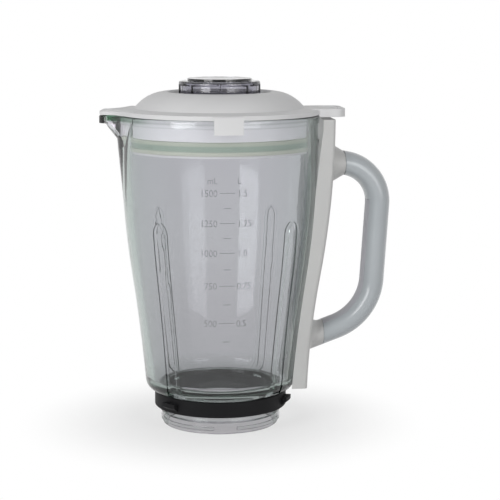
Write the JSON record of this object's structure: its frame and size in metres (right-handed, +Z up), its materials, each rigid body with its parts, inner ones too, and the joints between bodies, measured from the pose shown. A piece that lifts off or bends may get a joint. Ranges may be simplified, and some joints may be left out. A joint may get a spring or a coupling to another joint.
{
  "type": "blender jar",
  "caption": "Tapered glass jug with a pouring spout, bow handle, domed push-in lid with a filler cap, and a locking collar round its open neck.",
  "frame": {"origin": "on the jug's axis at the foot of the neck", "axes": "+Z up along the jug's axis, +X towards the handle, -X towards the spout, -Y towards the volume scale"},
  "size_m": [0.2066, 0.1446, 0.2468],
  "materials": {
    "clear_glass": "clear pressed glass with a faint green edge",
    "collar_plastic": "black moulded plastic, satin",
    "bracket_plastic": "light grey moulded plastic, satin",
    "grip_plastic": "cool grey moulded plastic, satin",
    "cover_plastic": "grey moulded plastic, satin",
    "screw_steel": "plain steel",
    "lid_plastic": "white moulded plastic, soft gloss",
    "seal_rubber": "grey-green silicone, matt",
    "cap_plastic": "smoky clear moulded plastic, glossy"
  },
  "bodies": {
    "jar": {"glass_jar": "clear_glass", "base_ring": "collar_plastic", "handle_bracket": "bracket_plastic", "handle_grip": "grip_plastic", "grip_cover": "cover_plastic", "grip_screws": "screw_steel"},
    "lid": {"lid": "lid_plastic", "lid_seal": "seal_rubber"},
    "cap": {"measuring_cap": "cap_plastic"}
  },
  "joints": [
    {"name": "lid_lift", "type": "slide", "parent": "jar", "child": "lid", "axis": [0, 0, 1], "range_m": [0, 0.045]},
    {"name": "cap_lift", "type": "slide", "parent": "lid", "child": "cap", "axis": [0, 0, 1], "range_m": [0, 0.045]}
  ]
}
